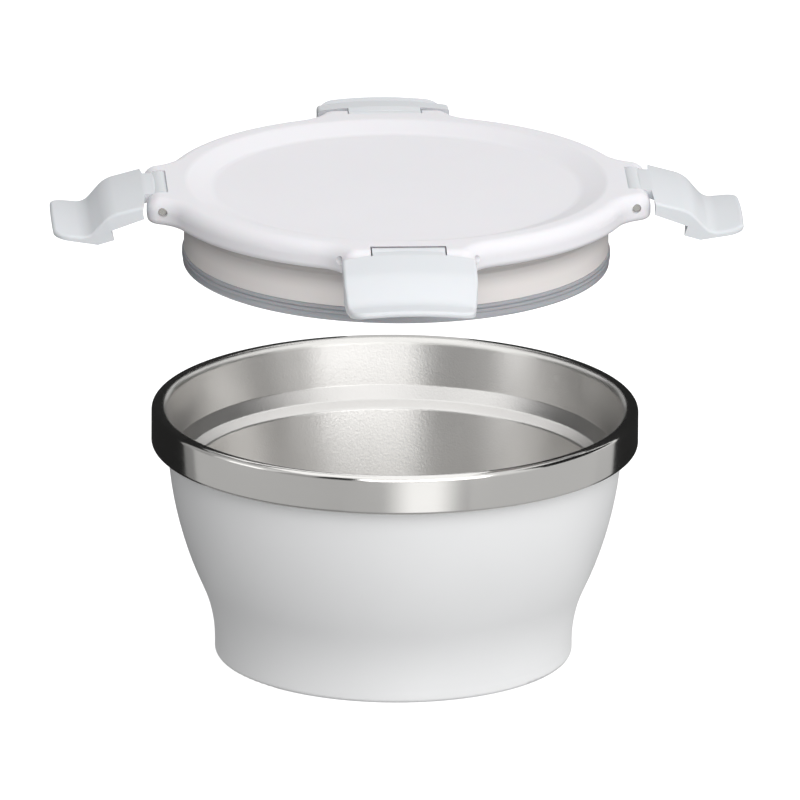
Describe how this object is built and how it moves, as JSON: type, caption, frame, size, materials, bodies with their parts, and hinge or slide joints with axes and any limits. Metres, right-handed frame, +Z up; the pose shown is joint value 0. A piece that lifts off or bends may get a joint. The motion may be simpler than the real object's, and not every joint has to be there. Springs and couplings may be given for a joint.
{
  "type": "insulated food bowl with latched lid",
  "caption": "Double-walled steel food bowl with a flared waist and bright rim band, and a lift-off insulated lid held by swing latches hinged on steel pins.",
  "frame": {"origin": "on the ground under the middle of the bowl", "axes": "+Z up along the bowl's axis, -Y towards the latch that faces the viewer, +X to the viewer's right"},
  "size_m": [0.2268, 0.2275, 0.1619],
  "materials": {
    "liner_steel": "satin",
    "band_steel": "brushed",
    "base_steel": "satin",
    "white_coat": "satin powder coat",
    "solder": "dull",
    "getter_metal": "dull",
    "copper_foil": "bright",
    "lid_white": "satin",
    "plug_white": "satin",
    "latch_white": "satin",
    "foam": "matte",
    "gasket_silicone": "translucent",
    "pin_steel": "polished"
  },
  "bodies": {
    "bowl": {"inner_liner": "liner_steel", "outer_shell": "white_coat", "rim_band": "band_steel", "base_plate": "base_steel", "vacuum_seal": "solder", "getter": "getter_metal", "radiation_foil": "copper_foil"},
    "lid": {"lid_cover": "lid_white", "lid_plug": "plug_white", "lid_insulation": "foam", "lid_gasket": "gasket_silicone", "hinge_pin_front": "pin_steel", "hinge_pin_back": "pin_steel", "hinge_pin_left": "pin_steel", "hinge_pin_right": "pin_steel"},
    "latch_front": {"latch_front": "latch_white"},
    "latch_back": {"latch_back": "latch_white"},
    "latch_left": {"latch_left": "latch_white"},
    "latch_right": {"latch_right": "latch_white"}
  },
  "joints": [
    {"name": "lid_lift", "type": "slide", "parent": "bowl", "child": "lid", "axis": [0, 0, 1], "range_m": [-0.0685, 0.03]},
    {"name": "latch_right_swing", "type": "hinge", "parent": "lid", "child": "latch_right", "pos_m": [0.0775, 0, 0.1574], "axis": [0, -1, 0], "range_deg": [-70, 50]},
    {"name": "latch_back_swing", "type": "hinge", "parent": "lid", "child": "latch_back", "pos_m": [0, 0.0775, 0.1574], "axis": [1, 0, 0], "range_deg": [-78, 42]},
    {"name": "latch_left_swing", "type": "hinge", "parent": "lid", "child": "latch_left", "pos_m": [-0.0775, 0, 0.1574], "axis": [0, 1, 0], "range_deg": [-70, 50]},
    {"name": "latch_front_swing", "type": "hinge", "parent": "lid", "child": "latch_front", "pos_m": [0, -0.0775, 0.1574], "axis": [-1, 0, 0], "range_deg": [-70, 50]}
  ]
}
